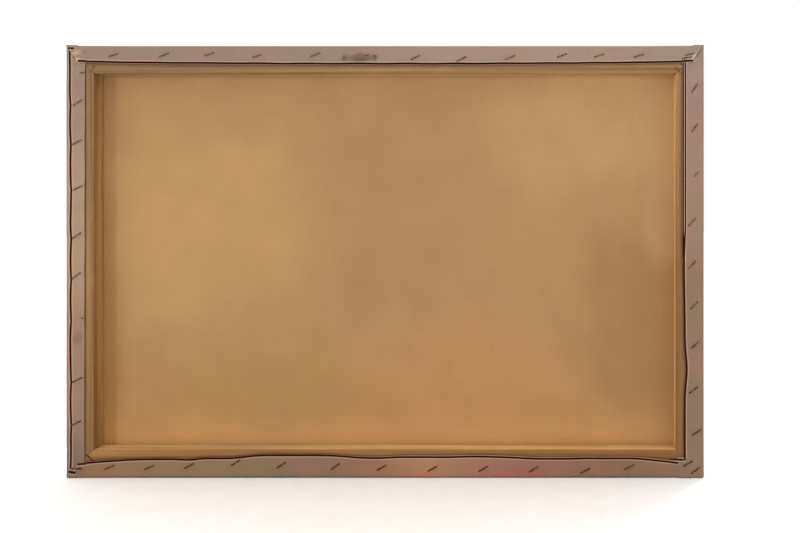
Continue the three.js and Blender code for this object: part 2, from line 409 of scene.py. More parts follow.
def eased(half, count):
    """Places from -half to half, over twice as close together at the ends as in the middle."""
    t = np.linspace(-1, 1, count + 1)
    return half * 0.5 * (t + np.sin(math.pi * t / 2))


# The rows of a wrapped side from the face round to the cut edge, as (stretch, share of it).
STRETCHES = {"front": (4, range(1, 5)), "side": (6, range(1, 6)), "back": (5, range(6)),
             "margin": (15, range(1, 16))}
WRAP_ROWS = [(name, k / steps) for name, (steps, kept) in STRETCHES.items() for k in kept]


def world_point(side, s, out, y):
    if side in FOLDED:
        return np.stack([s, y, HEIGHT + out if side == "top" else -out], axis=-1)
    x = HALF_WIDTH + out
    return np.stack([-x if side == "left" else x, y, HALF_HEIGHT + s], axis=-1)


def outer_plane(side, s, depth):
    """How far a side's outer face stands out, with the tucked triangle raising its ends."""
    if side not in FOLDED:
        return np.full(np.shape(s), SIDE_SLACK)
    from_end = SIDES[side]["half"] - np.abs(s)
    tucked = FOLD_LAYERS * CLOTH * smooth(-1.0, 1.5, depth * TUCK_SLANT - from_end)
    return TOP_PLANE + tucked + END_SWELL * smooth(END_REACH, 0, from_end)


def is_over(side, s):
    """True where a margin's end is the upper one of the two that cross at its corner."""
    level, end = SIDE_OVER
    if side in FOLDED:
        return (side != level) | (np.sign(s) != end)
    upright = "left" if end < 0 else "right"
    return (side == upright) & (np.sign(s) == (-1 if level == "bottom" else 1))


def margin_base(side, s):
    from_end = SIDES[side]["half"] - np.abs(s)
    over = MARGIN_Y + CORNER_LIFT * smooth(24, 16, from_end)
    under = MARGIN_Y + CORNER_SINK * smooth(38, 27, from_end)
    return np.where(is_over(side, s), over, under)


FOLD_NORMAL = np.array([1, -FOLD_SLANT]) / math.hypot(1, FOLD_SLANT)


def fold_end(q, inset):
    """Distance from the middle of a folded margin's end, at a distance q in from the outer edge."""
    return HALF_WIDTH + SIDE_SLACK - inset - FOLD_SLANT * q


def pull_in(side, s, q):
    """Draws the ends of a folded margin in to the slanting fold."""
    half = SIDES[side]["half"]
    if side not in FOLDED:
        return s * (half - UPRIGHT_PULL) / half
    start = half - PULL_REACH
    end = fold_end(q, FOLD_INSET[side])
    beyond = np.maximum(np.abs(s) - start, 0)
    squeezed = start + beyond * (end - start) / (half - start)
    return np.where(np.abs(s) > start, np.sign(s) * squeezed, s)


def front_row(side, ends, t):
    """A row of the bend from the face on to a side, a share t of the way round."""
    turn = t * math.pi / 2
    s = ends * (1 + (FRONT_RADIUS + SIDE_SLACK) * math.sin(turn) / ends[-1])
    out = -FRONT_RADIUS + (FRONT_RADIUS + outer_plane(side, s, FRONT_RADIUS)) * math.sin(turn)
    y = np.full_like(s, FRONT_Y + FRONT_RADIUS * (1 - math.cos(turn)))
    return s, out, y, 0.0, FRONT_RADIUS * turn


def side_row(side, s, t, turn):
    """A row of a side, a share t of the way back, or of the bend after it."""
    depth = FRONT_RADIUS + (SIDE_DEPTH - FRONT_RADIUS) * t
    lift = (margin_base(side, s) - MARGIN_Y) * depth / SIDE_DEPTH
    q = BACK_RADIUS * (1 - math.cos(turn))
    y = FRONT_Y + depth + lift + BACK_RADIUS * math.sin(turn)
    return s, outer_plane(side, s, depth) - q, y, q, depth + BACK_RADIUS * turn


def margin_row(side, s, t):
    """A row of the margin, a share t of the way from the bend to the cut edge."""
    place = s if side in FOLDED else s + HALF_HEIGHT
    q = BACK_RADIUS + (SIDES[side]["cut"](place) - BACK_RADIUS) * t
    out = outer_plane(side, s, SIDE_DEPTH) * smooth(24, 6, q) - q
    s = pull_in(side, s, q)
    at = world_point(side, s, out, np.zeros_like(s))
    base = margin_base(side, s)
    height = margin_height(at[:, 0], at[:, 2], base)
    if side in FOLDED:
        inset = FOLD_INSET[side]
        to_fold = (fold_end(q, inset) - np.abs(s)) * FOLD_NORMAL[0]
        height += np.where(is_over(side, s), FOLD_RIDGE * np.exp(-((to_fold / RIDGE_REACH) ** 2)), 0)
        corner = TUCK_SLANT * SIDE_DEPTH - (fold_end(0, inset) - np.abs(s)) - q
        height += TUCK_SHOWS * smooth(-0.6, 0.6, corner)
    y = base + (height - base) * smooth(BACK_RADIUS, BACK_RADIUS + 2.5, q)
    return s, out, y, q, SIDE_DEPTH + BACK_RADIUS * (math.pi / 2 - 1) + q


def rounded_ends(side, s, out, bend):
    """Takes the ends of a row round the frame's corner edges."""
    straight = SIDES[side]["half"] - CORNER_RADIUS
    past = np.clip((np.abs(s) - straight) / CORNER_RADIUS, 0, 1.3)
    s = np.where(past > 0, np.sign(s) * (straight + CORNER_RADIUS * np.sin(past)), s)
    return s, out - CORNER_RADIUS * (1 - np.cos(past)) * bend


def wrapped_strip(side, ends):
    """Local (s, out, y), distance from the outer edge and flat length of every row of a side."""
    folded = side in FOLDED
    side_end = fold_end(0, FOLD_INSET[side]) if folded else SIDES[side]["half"] + SIDE_SLACK
    side_s = ends * side_end / ends[-1]
    rows = []
    for stretch, t in WRAP_ROWS:
        if stretch == "front":
            row = front_row(side, ends, t)
        elif stretch == "side":
            row = side_row(side, side_s, t, 0.0)
        elif stretch == "back":
            row = side_row(side, side_s, 1.0, t * math.pi / 2)
        else:
            row = margin_row(side, side_s, t)
        if not folded and stretch != "margin":
            row = (*rounded_ends(side, *row[:2], t if stretch == "front" else 1), *row[2:])
        rows.append(np.broadcast_arrays(*row))
    return [np.stack(column, axis=1) for column in zip(*rows)]


def curled_ends(s, out, y):
    """Extra columns that turn a folded side's ends under, at the two ends of every row."""
    sheet = np.array([s, out, y])
    added = {0: [], -1: []}
    for end, turn in itertools.product(added, np.radians([35, 70, 105, 140])):
        shifts = []
        for stretch, t in WRAP_ROWS:
            radius = FOLD_RADIUS * (t if stretch == "front" else 1)
            lean = {"front": t - 1, "side": 0.0, "back": t, "margin": 1.0}[stretch] * math.pi / 2
            away = FOLD_NORMAL if stretch == "margin" else (1.0, 0.0)
            sideways = radius * math.sin(turn)
            drop = radius * (1 - math.cos(turn))
            shifts.append((np.sign(s[end, 0]) * away[0] * sideways,
                           away[1] * sideways - math.cos(lean) * drop, -math.sin(lean) * drop))
        added[end].append(sheet[:, end] + np.transpose(shifts))
    first, last = np.stack(added[0][::-1], axis=1), np.stack(added[-1], axis=1)
    return np.concatenate([first, sheet, last], axis=1)


# Where the printed line starts and stops along each margin, and where its extra marks are: a dash
# across the end of the top margin, a bold dash at the lower +X corner, and the left margin's twin
# line, with a dash at its foot.
LINE_SPAN = {"top": (-289.3, 288.5), "bottom": (-277, 289.5),
             "left": (16.4, math.inf), "right": (8.3, 402)}
TOP_DASH_X, TOP_DASH_Z = (291.5, 297.8), 403.2
CORNER_DASH_X, CORNER_DASH_TOP = (289.5, 297.5), 12
TWIN_START = 202
FOOT_DASH_TOP, FOOT_DASH_IN = 30, 16.5
FAR = 50.0  # a distance at which no line shows


def within(value, span):
    return (value > span[0]) & (value < span[1])


def corner_dash(x, z):
    """Distance to the bold dash, a little less than true so that it comes out thicker."""
    near = within(x, CORNER_DASH_X) & (z < CORNER_DASH_TOP)
    return np.where(near, 0.8 * (z - 4.6 - 0.09 * (x - 288)), FAR)


def line_distance(side, place, q, cut, x, z):
    """Signed distances to the printed dark line and to the second, shorter one."""
    if side == "top":
        line = q - (cut - 1.2)
        second = np.where(within(x, TOP_DASH_X), z - TOP_DASH_Z, FAR)
    elif side == "bottom":
        line = q - (cut - LINE_TO_CUT - 0.5 * smooth(100, -50, x))
        second = corner_dash(x, z)
    elif side == "right":
        line = q - line_right(place)
        second = corner_dash(x, z)
    else:
        thin = 1 - 0.25 * smooth(205, 240, place)
        line = (q - line_left(place)) / thin
        apart = TWIN_APART * smooth(198, 236, place)
        second = np.where(place > TWIN_START, (q - line_left(place) - apart) / thin, FAR)
        dash = z - (17.7 + 0.075 * (x + 266))
        second = np.where((place < FOOT_DASH_TOP) & (q > FOOT_DASH_IN), dash, second)
    return np.where(within(place, LINE_SPAN[side]), line, FAR), second


def add_strip(surface, side, edge_index, ends):
    """Builds one wrapped side with its margin on to the face's fine edge points."""
    s, out, y, q, flat = wrapped_strip(side, ends)
    if side in FOLDED:
        s, out, y = curled_ends(s, out, y)
        turned = (len(s) - len(q)) // 2
        q, flat = [np.pad(part, ((turned, turned), (0, 0)), mode="edge") for part in (q, flat)]
        edge_index = np.pad(edge_index, (turned, turned), mode="edge")
    points = world_point(side, s, out, y)
    x, z = points[..., 0], points[..., 2]
    place = x if side in FOLDED else z
    cloth = world_point(side, s, flat, y)[..., [0, 2]]
    line, second = line_distance(side, place, q, q[:, -1:], x, z)
    tint = margin_tint(side, place, x, z) * fold_shade(side, s, x, z)[..., None]
    index = surface.add(points=points, cloth=cloth, tint=tint, front=smooth(5.0, 0.0, y - FRONT_Y),
                        line=line, second_line=second)
    surface.grid(np.concatenate([edge_index[:, None], index], axis=1), SIDES[side]["flip"])


def add_face(surface):
    """The face's grid and the band that joins it to the fine points along its four edges."""
    half_x, half_z = HALF_WIDTH - FRONT_RADIUS, HALF_HEIGHT - FRONT_RADIUS

    def add(x, z):
        x, z = np.broadcast_arrays(x, z)
        bow = (1 - (x / half_x) ** 2) * (1 - (z / half_z) ** 2)
        points = np.stack([x, FRONT_Y + FACE_BOW * bow, z + HALF_HEIGHT], axis=-1)
        return surface.add(points=points, cloth=points[..., [0, 2]], front=1.0, line=-FAR,
                           second_line=FAR, tint=to_linear(PLAIN_TINT))

    xs = eased(half_x, FACE_COLUMNS) * (half_x - RING) / half_x
    zs = eased(half_z, FACE_ROWS) * (half_z - RING) / half_z
    inner = add(*np.meshgrid(xs, zs, indexing="ij"))
    surface.grid(inner)
    fine_x, fine_z = eased(half_x, FACE_COLUMNS * FINE), eased(half_z, FACE_ROWS * FINE)
    edges = {"top": add(fine_x, half_z), "bottom": add(fine_x, -half_z)}
    for side, x, end in (("left", -half_x, 0), ("right", half_x, -1)):
        middle = add(x, fine_z[1:-1])
        edges[side] = np.array([edges["bottom"][end], *middle, edges["top"][end]])
    coarse = {"top": inner[:, -1], "bottom": inner[:, 0], "left": inner[0], "right": inner[-1]}
    for side, edge in edges.items():
        flip = SIDES[side]["flip"]
        for j, (near, far) in enumerate(itertools.pairwise(coarse[side])):
            middle = j * FINE + FINE // 2
            for i in range(j * FINE, (j + 1) * FINE):
                corner = near if i < middle else far
                surface.face([corner, edge[i + 1], edge[i]], flip)
            surface.face([near, far, edge[middle]], flip)
    return edges, {"top": fine_x, "bottom": fine_x, "left": fine_z, "right": fine_z}


def new_mesh(name, points, faces, materials):
    mesh = bpy.data.meshes.new(name)
    mesh.from_pydata((np.asarray(points) * MM).tolist(), [], faces)
    for material in materials:
        mesh.materials.append(material)
    return mesh


def set_values(mesh, name, kind, values):
    attribute = mesh.attributes.new(name, kind, "POINT")
    field = {"FLOAT": "value", "FLOAT_VECTOR": "vector", "FLOAT_COLOR": "color"}[kind]
    attribute.data.foreach_set(field, np.asarray(values, np.float32).ravel())


def set_colours(mesh, name, colours):
    opaque = np.pad(colours.reshape(-1, 3), ((0, 0), (0, 1)), constant_values=1)
    set_values(mesh, name, "FLOAT_COLOR", opaque)


def shade(mesh, sharp_degrees):
    """Smooths a mesh's shading, but not across edges sharper than the given angle."""
    mesh.shade_smooth()
    mesh.set_sharp_from_angle(angle=math.radians(sharp_degrees))


def link(name, data):
    made = bpy.data.objects.new(name, data)
    bpy.context.scene.collection.objects.link(made)
    return made


def apply_modifiers(piece):
    graph = bpy.context.evaluated_depsgraph_get()
    graph.update()
    mesh = bpy.data.meshes.new_from_object(piece.evaluated_get(graph))
    piece.modifiers.clear()
    old, piece.data = piece.data, mesh
    bpy.data.meshes.remove(old)
    mesh.name = piece.name


def swept_mesh(name, points, ring, material, sharp_degrees):
    """A closed mesh through rings of points that follow one another, capped at both ends."""
    last = len(points) - ring
    faces = []
    for start in range(0, last, ring):
        for j in range(ring):
            k = (j + 1) % ring
            faces.append([start + j, start + ring + j, start + ring + k, start + k])
    faces += [list(range(ring)), list(range(last, last + ring))[::-1]]
    mesh = new_mesh(name, points, faces, [material])
    work = bmesh.new()
    work.from_mesh(mesh)
    bmesh.ops.recalc_face_normals(work, faces=work.faces)
    work.to_mesh(mesh)
    work.free()
    shade(mesh, sharp_degrees)
    return mesh


def make_canvas(painted, raw, cut_edge):
    surface = Surface()
    edges, places = add_face(surface)
    for side in SIDES:
        add_strip(surface, side, edges[side], places[side])
    points = surface.joined("points")
    mesh = new_mesh("canvas_sheet", points, surface.faces, [painted, raw, cut_edge])
    cloth = np.pad(surface.joined("cloth"), ((0, 0), (0, 1)))
    set_values(mesh, "cloth", "FLOAT_VECTOR", cloth * MM)
    set_colours(mesh, "tint", surface.joined("tint"))
    set_colours(mesh, "raw_tone", back_tone(points[:, 0], points[:, 2]))
    for name in ("front", "line", "second_line"):
        set_values(mesh, name, "FLOAT", surface.joined(name))
    sheet = link("canvas_sheet", mesh)
    thickness = sheet.modifiers.new("thickness", "SOLIDIFY")
    thickness.thickness = CLOTH * MM
    thickness.offset = -1
    thickness.material_offset = 1
    thickness.material_offset_rim = 2
    apply_modifiers(sheet)
    shade(sheet.data, 50)
    return sheet


# ------------ the stretcher bars

BAR_STEPS = 90
BEAD = 3.0  # width of the raised bead at the outer front edge
BEVEL_DROP = 0.8  # how far the rest of the front lies behind it
MITRE_HALF_GAP = 0.15
BAR_WOBBLE = 0.07  # unevenness of the planed faces


def arc(centre, radius, start, stop, steps):
    turns = np.radians(np.linspace(start, stop, steps + 1))
    return [(centre[0] + radius * math.cos(a), centre[1] + radius * math.sin(a)) for a in turns]


# How light each bar's wood is along it, from its low end to its high one, on its back and on its
# inner faces. The inner faces carry painted light: far lighter than the backs, lightest where they face
# the light.
BACK_WOOD = {
    "top_bar": [0.63, 0.66, 0.69, 0.6, 0.51], "bottom_bar": [0.45, 0.51, 0.56, 0.47, 0.62],
    "left_bar": [0.455, 0.455, 0.515, 0.65, 0.78], "right_bar": [0.42, 0.5, 0.68, 0.645, 0.6],
}
INNER_WOOD = {
    "top_bar": [1.3, 1.25, 1.33, 1.26, 1.16], "bottom_bar": [1.75, 1.85, 1.65, 1.22, 1.7],
    "left_bar": [2.08, 2.08, 1.9, 2.0, 2.3], "right_bar": [1.45, 1.57, 1.29, 1.38, 1.2],
}
# Hues of the wood: of the backs towards the frame's foot, and of each bar's inner faces, part of their
# painted light.
FOOT_HUE = (1.12, 0.99, 0.79)
INNER_HUE = {
    "top_bar": (0.95, 1.0, 1.04), "bottom_bar": (0.93, 1.07, 1.08),
    "left_bar": (0.9, 1.03, 1.14), "right_bar": (1.0, 1.03, 0.84),
}
INNER_SHADE_TO_CANVAS = {"right_bar": 0.22}  # painted shade: how much darker an inner face is painted towards the canvas
GAP_LIGHT = 0.7  # painted light: how much lighter the wood is painted in the narrow gap behind the canvas, where shade falls
BACK_EDGE_RADIUS = {"top_bar": 0.9, "bottom_bar": 1.7, "left_bar": 0.9, "right_bar": 0.5}
CUT_SIDE_DARK_REACH = 1.5  # how far the wood is darker beside the canvas's cut edge


def bar_section(edge):
    """Outline across a bar: u runs inwards from the outer face, v is Y; rounded at its edges."""
    front, back, width = BAR_FRONT_Y, BAR_BACK_Y, BAR_WIDTH
    outline = arc((0.7, front + 0.7), 0.7, 180, 270, 3)
    outline += [(BEAD * 0.6, front), (BEAD, front + 0.1)]
    outline += arc((width - 0.6, front + BEVEL_DROP + 0.6), 0.6, 276, 360, 3)
    outline += arc((width - edge, back - edge), edge, 0, 90, 5)
    outline += [(p, back) for p in np.arange(22.5, 12, -0.5)]
    outline += arc((1.0, back - 1.0), 1.0, 90, 180, 5)
    return np.array(outline)


def bar_tone(name, t, y, on_back, z):
    """Linear colour factor of a bar's wood, at shares t of its length and its section's Y, with painted
    light and shade in it.
    """
    stops = np.linspace(-1, 1, len(BACK_WOOD[name]))
    gap_light = GAP_LIGHT * smooth(BAR_FRONT_Y + 1.5, BAR_FRONT_Y + 0.9, y)
    canvas_side_shade = INNER_SHADE_TO_CANVAS.get(name, 0.0) * smooth(BAR_BACK_Y, BAR_FRONT_Y, y)
    inner = np.interp(t, stops, INNER_WOOD[name]) * (1 - on_back) * (1 + gap_light - canvas_side_shade)
    back_part = np.interp(t, stops, BACK_WOOD[name]) * on_back
    hue = 1 + (np.array(FOOT_HUE) - 1) * smooth(330, 60, z)[..., None]
    return inner[..., None] * INNER_HUE[name] + back_part[..., None] * hue


def make_bar(name, material):
    side, seed = name.removesuffix("_bar"), BARS.index(name)
    half = SIDES[side]["half"] - BAR_INSET
    u, y = bar_section(BACK_EDGE_RADIUS[name]).T
    t = np.linspace(-1, 1, BAR_STEPS + 1)[:, None]
    along = t * (half - u - MITRE_HALF_GAP * math.sqrt(2))
    wobble = BAR_WOBBLE * ripple(along, u * 9, 60, seed=40 + seed) * smooth(1.0, 0.9, np.abs(t))
    points = world_point(side, along, -BAR_INSET - u - wobble, y + wobble)
    mesh = swept_mesh(name + "_wood", points.reshape(-1, 3), len(u), material, 40)
    on_back = smooth(BAR_BACK_Y - 1.8, BAR_BACK_Y - 0.5, y)
    set_colours(mesh, "tone", bar_tone(name, t, y, on_back, points[..., 2]))
    cut = SIDES[side]["cut"](along if side in FOLDED else along + HALF_HEIGHT)
    beside = np.maximum(BAR_INSET + u - cut, 0)
    set_values(mesh, "cut_side_dark", "FLOAT", on_back * np.exp(-((beside / CUT_SIDE_DARK_REACH) ** 2)))
    grain = np.stack(np.broadcast_arrays(along + 700 * seed, u + 60 * seed, y), axis=-1)
    set_values(mesh, "grain", "FLOAT_VECTOR", grain * MM)
    return link(name + "_wood", mesh)


# ------------ the staples

WIRE_WIDTH, WIRE_THICKNESS, WIRE_CHAMFER = 1.3, 0.7, 0.2
BEND_RADIUS = 0.75
CROWN_UNEVEN = 0.04
MITRE_PROUD = 0.3  # how far the staples across the mitres stand out of the wood
LEG_MIDDLE, LEG_END = 4.0, 7.6  # depths of a leg's middle and of its point
POINT_SHARE = 0.35  # how thick the wire is left at a point


def make_staple(name, material):
    """A flat wire swept along a U, its crown lying on the surface and its legs in the wood."""
    centre, direction, crown_y = staple_places[name]
    crown_y += MITRE_PROUD if "mitre" in name else 0
    a, b, chamfer = WIRE_WIDTH / 2, WIRE_THICKNESS / 2, WIRE_CHAMFER
    half = CROWN / 2 - b
    leg = [(-half, -LEG_END), (-half, -LEG_MIDDLE)]
    leg += arc((BEND_RADIUS - half, -BEND_RADIUS - b), BEND_RADIUS, 180, 90, 5)
    crown = [(p, CROWN_UNEVEN * math.cos(p) - b) for p in np.linspace(-half * 0.7, half * 0.7, 5)]
    path = np.array(leg + crown + [(-p, drop) for p, drop in leg[::-1]])
    tangent = np.gradient(path, axis=0)
    tangent /= np.linalg.norm(tangent, axis=1)[:, None]
    normal = np.stack([-tangent[:, 1], tangent[:, 0]], axis=1)
    section = [(a - chamfer, b), (a, b - chamfer), (a, chamfer - b), (a - chamfer, -b)]
    section += [(-width, lift) for width, lift in section[::-1]]
    points = []
    for k, (place, across) in enumerate(zip(path, normal)):
        pinch = POINT_SHARE if k in (0, len(path) - 1) else 1.0
        depth = sunk(name, place[0] / half)
        for width, lift in section:
            p, drop = place + across * lift * pinch
            x = centre[0] + p * direction[0] - width * direction[1]
            z = centre[1] + p * direction[1] + width * direction[0]
            points.append((x, crown_y + drop - depth, z))
    mesh = swept_mesh(name + "_wire", points, len(section), material, 50)
    return link(name + "_wire", mesh)


# ------------ materials


class Nodes:
    """A node tree, with one short call for each node."""

    def __init__(self, tree):
        self.tree = tree
        tree.nodes.clear()

    def node(self, kind, inputs=None, **settings):
        made = self.tree.nodes.new(kind)
        for key, value in settings.items():
            setattr(made, key, value)
        for key, value in (inputs or {}).items():
            self.set(made.inputs[key], value)
        return made

    def set(self, socket, value):
        if isinstance(value, bpy.types.NodeSocket):
            self.tree.links.new(value, socket)
        else:
            socket.default_value = value

    def coordinates(self, kind):
        return self.node("ShaderNodeTexCoord").outputs[kind]

    def parts(self, vector):
        return self.node("ShaderNodeSeparateXYZ", {"Vector": vector}).outputs

    def attribute(self, name, output):
        return self.node("ShaderNodeAttribute", attribute_name=name).outputs[output]

    def math(self, operation, *values):
        return self.node("ShaderNodeMath", dict(enumerate(values)), operation=operation).outputs[0]

    def plus(self, total, value, share):
        """A total with a share of another value added to it."""
        return self.math("MULTIPLY_ADD", value, share, total)

    def ramp(self, value, low, high, start=0.0, stop=1.0):
        """A smooth change from start to stop as value goes from low to high."""
        inputs = {"Value": value, "From Min": low, "From Max": high, "To Min": start, "To Max": stop}
        return self.node("ShaderNodeMapRange", inputs, interpolation_type="SMOOTHSTEP").outputs[0]

    def stretched(self, vector, scale):
        inputs = {"Vector": vector, "Scale": scale}
        return self.node("ShaderNodeMapping", inputs).outputs[0]

    def noise(self, vector, scale, detail=3.0, roughness=0.5, distortion=0.0):
        inputs = {"Vector": vector, "Scale": scale, "Detail": detail, "Roughness": roughness,
                  "Distortion": distortion}
        return self.node("ShaderNodeTexNoise", inputs).outputs["Fac"]

    def streaks(self, vector, scale, *look):
        """Noise drawn out along some of the axes."""
        return self.noise(self.stretched(vector, scale), 1.0, *look)

    def times(self, colour, other):
        return self.mix(1.0, colour, other, "MULTIPLY")

    def shaded(self, colour, factor):
        grey = self.node("ShaderNodeCombineColor", dict.fromkeys(range(3), factor)).outputs[0]
        return self.times(colour, grey)

    def mix(self, factor, first, second, blend="MIX"):
        made = self.node("ShaderNodeMix", data_type="RGBA", blend_type=blend)
        self.set(made.inputs[0], factor)
        self.set(made.inputs[6], first)
        self.set(made.inputs[7], second)
        return made.outputs[2]

    def patched(self, colour, value, low, high, strength, patch):
        """A colour covered by another, up to a strength, as value goes from low to high."""
        return self.mix(self.ramp(value, low, high, 0.0, strength), colour, rgba(patch))

    def colours(self, value, stops):
        made = self.node("ShaderNodeValToRGB", {"Fac": value})
        elements = made.color_ramp.elements
        while len(elements) < len(stops):
            elements.new(0.5)
        for element, (position, colour) in zip(elements, stops):
            element.position = position
            element.color = rgba(colour)
        return made.outputs["Color"]

    def bump(self, height, distance, strength):
        inputs = {"Height": height, "Distance": distance, "Strength": strength}
        return self.node("ShaderNodeBump", inputs).outputs["Normal"]


class Shader(Nodes):
    """A material on a Principled surface."""

    def __init__(self, name):
        self.material = bpy.data.materials.new(name)
        self.material.use_nodes = True
        super().__init__(self.material.node_tree)
        self.surface = self.node("ShaderNodeBsdfPrincipled")
        self.node("ShaderNodeOutputMaterial", {"Surface": self.surface.outputs[0]})

    def finish(self, colour, roughness, specular=0.5, **others):
        others |= {"Base Color": colour, "Roughness": roughness, "Specular IOR Level": specular}
        for key, value in others.items():
            self.set(self.surface.inputs[key], value)
        return self.material


def rgba(colour):
    return (*[float(c) for c in to_linear(colour)], 1.0)


THREAD = 0.00065  # pitch of the canvas's threads, in metres


def weave(shader, cloth):
    """Height of a plain weave over the flat sheet, between 0 and 1, with uneven threads."""
    uneven = shader.math("MULTIPLY", shader.noise(cloth, 260.0, 2.0), 1.4)
    turns = [shader.plus(uneven, part, math.pi / THREAD) for part in shader.parts(cloth)[:2]]
    waves = [shader.math("SINE", turn) for turn in turns]
    return shader.math("ABSOLUTE", shader.math("MULTIPLY", *waves))


def slubs(shader, cloth):
    """Thicker threads here and there, along both directions of the weave."""
    warp = shader.streaks(cloth, (1500.0, 22.0, 1.0), 1.0)
    weft = shader.streaks(cloth, (22.0, 1500.0, 1.0), 1.0)
    return shader.math("ADD", warp, weft)


INK, HALO = (52, 8, 0), (205, 178, 156)
INK_EDGE, HALO_EDGE = (0.85, 1.1), (1.3, 2.5)  # from the middle of the line, in millimetres
HALO_STRENGTH = 0.4


def draw_lines(shader, colour):
    """Draws the printed lines on a colour, each with a paler edge to both sides."""
    ink = []
    for name in ("line", "second_line"):
        distance = shader.math("ABSOLUTE", shader.attribute(name, "Fac"))
        ink.append(shader.ramp(distance, *INK_EDGE, 1.0, 0.0))
        colour = shader.mix(shader.ramp(distance, *HALO_EDGE, HALO_STRENGTH, 0.0), colour, rgba(HALO))
    return shader.mix(shader.math("MAXIMUM", *ink), colour, rgba(INK))


def painting(shader, place):
    """A plain abstract landscape in muted earth colours, and the height of its brush marks."""
    clouds = shader.streaks(place, (3.2, 3.2, 5.5), 5.0, 0.55, 0.6)
    strokes = shader.streaks(place, (11.0, 11.0, 70.0), 3.0, 0.6, 1.6)
    dabs = shader.streaks(place, (26.0, 26.0, 60.0), 2.0, 0.5, 2.2)
    bristles = shader.streaks(place, (24.0, 24.0, 900.0), 2.0, 0.6, 0.4)
    level = shader.math("MULTIPLY", shader.parts(place)["Z"], 1.0 / (HEIGHT * MM))
    drift = shader.plus(shader.math("MULTIPLY", level, 0.62), clouds, 0.75)
    drift = shader.plus(drift, shader.ramp(strokes, 0.38, 0.62), 0.07)
    drift = shader.plus(drift, shader.ramp(dabs, 0.46, 0.56), 0.06)
    drift = shader.plus(drift, bristles, 0.05)
    picture = shader.colours(drift, [
        (0.33, (104, 80, 60)), (0.47, (138, 106, 82)), (0.60, (160, 128, 98)),
        (0.73, (204, 182, 150)), (0.86, (172, 148, 132)), (1.0, (142, 130, 122))])
    rose = shader.plus(shader.noise(place, 5.0, 3.0, 0.5, 0.8), dabs, 0.12)
    picture = shader.patched(picture, rose, 0.58, 0.72, 0.42, (160, 106, 92))
    olive = shader.noise(shader.stretched(place, (2.0, 2.0, 7.0)), 1.7)
    olive = shader.plus(olive, strokes, 0.15)
    picture = shader.patched(picture, olive, 0.63, 0.76, 0.6, (112, 106, 74))
    relief = shader.plus(bristles, shader.ramp(dabs, 0.44, 0.58), 0.9)
    return picture, shader.plus(relief, shader.ramp(strokes, 0.4, 0.6), 0.8)


def painted_canvas():
    """The painting on the face, carried round the sides; thin paint and dark lines on the margins."""
    shader = Shader("painted_canvas")
    threads = weave(shader, shader.attribute("cloth", "Vector"))
    place = shader.coordinates("Object")
    picture, marks = painting(shader, place)
    front = shader.attribute("front", "Fac")
    tint = shader.attribute("tint", "Color")
    patches = shader.noise(place, 38.0, 3.0, 0.55, 0.4)
    tint = shader.patched(tint, patches, 0.3, 0.7, 0.22, (120, 116, 92))
    warm = shader.noise(place, 23.0, 2.0)
    tint = shader.patched(tint, warm, 0.42, 0.66, 0.2, (168, 112, 98))
    colour = draw_lines(shader, shader.mix(front, tint, picture))
    # Painted shade: the hollows of the weave are darkened.
    colour = shader.shaded(colour, shader.ramp(threads, 0.0, 0.8, 0.86, 1.04))
    brushed = shader.math("MULTIPLY", marks, shader.ramp(front, 0.0, 1.0, 0.4, 1.3))
    normal = shader.bump(shader.math("ADD", brushed, threads), 0.00018, 0.85)
    roughness = shader.ramp(marks, 0.3, 2.0, 0.78, 0.6)
    return shader.finish(colour, roughness, 0.03, Normal=normal)


def raw_canvas():
    """Unpainted back of the sheet: tan cotton, faintly mottled, with uneven threads."""
    shader = Shader("raw_canvas")
    cloth = shader.attribute("cloth", "Vector")
    threads = weave(shader, cloth)
    mottle = shader.noise(shader.coordinates("Object"), 24.0, 3.0, 0.5, 0.3)
    mottle = shader.ramp(mottle, 0.3, 0.7, 0.97, 1.03)
    colour = shader.shaded(shader.attribute("raw_tone", "Color"), mottle)
    thick = slubs(shader, cloth)
    shade = shader.ramp(thick, 0.75, 1.3, 0.98, 1.03)
    shade = shader.math("MULTIPLY", shade, shader.ramp(threads, 0.0, 0.8, 0.93, 1.04))
    colour = shader.shaded(colour, shade)
    normal = shader.bump(shader.plus(threads, thick, 0.7), 0.00018, 0.7)
    return shader.finish(colour, 0.9, 0.15, Normal=normal)


def cut_canvas():
    """Cut edge of the sheet: pale thread ends."""
    shader = Shader("cut_canvas_edge")
    ends = shader.noise(shader.attribute("cloth", "Vector"), 1400.0, 2.0)
    colour = shader.colours(ends, [(0.3, (150, 118, 88)), (0.7, (206, 180, 148))])
    return shader.finish(colour, 0.95, Normal=shader.bump(ends, 0.0002, 1.0))


def pine():
    """Sawn and planed softwood: long growth bands, fine fibres and a few darker streaks."""
    shader = Shader("pine")
    grain = shader.attribute("grain", "Vector")
    bands = shader.streaks(grain, (2.2, 150.0, 90.0), 3.0, 0.55, 0.5)
    colour = shader.colours(bands, [
        (0.30, (138, 99, 58)), (0.42, (159, 118, 73)), (0.55, (172, 132, 86)), (0.72, (182, 142, 96))])
    streaks = shader.streaks(grain, (9.0, 900.0, 700.0), 3.0, 0.6)
    colour = shader.patched(colour, streaks, 0.5, 0.72, 0.45, (116, 78, 42))
    worn = shader.noise(grain, 30.0, 3.0, 0.6)
    colour = shader.patched(colour, worn, 0.5, 0.75, 0.25, (190, 152, 106))
    # The tone holds the painted light and shade of the bars' faces.
    colour = shader.times(colour, shader.attribute("tone", "Color"))
    darkening = shader.math("MULTIPLY", shader.attribute("cut_side_dark", "Fac"), 0.75)
    colour = shader.mix(darkening, colour, rgba((78, 44, 20)))
    fibres = shader.streaks(grain, (60.0, 3500.0, 2500.0), 2.0)
    roughness = shader.ramp(fibres, 0.3, 0.7, 0.58, 0.78)
    normal = shader.bump(shader.plus(fibres, bands, 0.8), 0.00012, 0.7)
    return shader.finish(colour, roughness, 0.25, Normal=normal)


